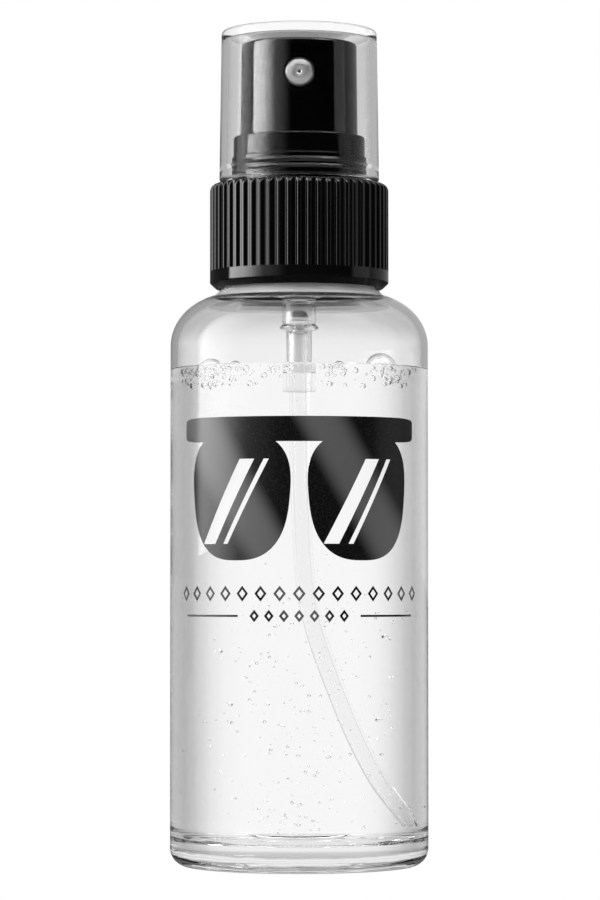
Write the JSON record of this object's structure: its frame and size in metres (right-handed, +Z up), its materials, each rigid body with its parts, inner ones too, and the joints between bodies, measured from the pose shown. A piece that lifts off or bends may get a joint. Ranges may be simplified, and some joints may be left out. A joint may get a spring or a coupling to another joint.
{
  "type": "lens cleaning spray",
  "caption": "Clear round pocket spray bottle of lens cleaning fluid, with a black ribbed screw closure, a fine mist pump with a dip tube, a finger actuator and a clear push-on overcap.",
  "frame": {"origin": "centre of the bottle's base, on the surface it stands on", "axes": "+Z up along the bottle's axis, -Y the way the nozzle sprays, +X to the side that the dip tube bends towards"},
  "size_m": [0.04, 0.04, 0.1297],
  "materials": {
    "clear_bottle": "gloss",
    "clear_fluid": "gloss",
    "clear_overcap": "gloss",
    "black_gloss_plastic": "gloss",
    "silver_nozzle": "satin",
    "gasket_foam": "matte",
    "natural_plastic": "satin",
    "white_plastic": "satin",
    "spring_steel": "polished"
  },
  "bodies": {
    "bottle": {"bottle": "clear_bottle", "cleaning_fluid": "clear_fluid"},
    "pump": {"pump_housing": "natural_plastic", "neck_gasket": "gasket_foam", "stem_collar": "black_gloss_plastic", "dip_tube": "natural_plastic", "return_spring": "spring_steel"},
    "closure": {"closure": "black_gloss_plastic"},
    "overcap": {"overcap": "clear_overcap"},
    "plunger": {"pump_stem": "white_plastic", "valve_rod": "white_plastic"},
    "piston": {"piston": "white_plastic"},
    "head": {"actuator": "black_gloss_plastic", "nozzle_insert": "silver_nozzle"},
    "inlet_ball": {"inlet_ball": "spring_steel"}
  },
  "joints": [
    {"name": "pump_lift", "type": "slide", "parent": "bottle", "child": "pump", "axis": [0, 0, 1], "range_m": [0, 0.00476], "deforming": ["cleaning_fluid"]},
    {"name": "closure_turn", "type": "hinge", "parent": "pump", "child": "closure", "pos_m": [0, 0, 0.0894], "axis": [0, 0, 1], "range_deg": [0, 540]},
    {"name": "overcap_pull", "type": "slide", "parent": "closure", "child": "overcap", "axis": [0, 0, 1], "range_m": [0, 0.025]},
    {"name": "press", "type": "slide", "parent": "pump", "child": "plunger", "axis": [0, 0, -1], "range_m": [0, 0.0045], "stiffness_N_per_m": 1000, "springref_m": -0.004, "deforming": ["return_spring"]},
    {"name": "piston_slip", "type": "slide", "parent": "plunger", "child": "piston", "axis": [0, 0, 1], "range_m": [0, 0.0006]},
    {"name": "actuator_swivel", "type": "hinge", "parent": "plunger", "child": "head", "pos_m": [0, 0, 0.1132], "axis": [0, 0, 1], "continuous": true},
    {"name": "inlet_ball_lift", "type": "slide", "parent": "pump", "child": "inlet_ball", "axis": [0, 0, 1], "range_m": [0, 0.0008]}
  ],
  "couplings": [
    {"joint": "closure_turn", "follows": "pump_lift", "rad_per_m": 1978.9}
  ]
}
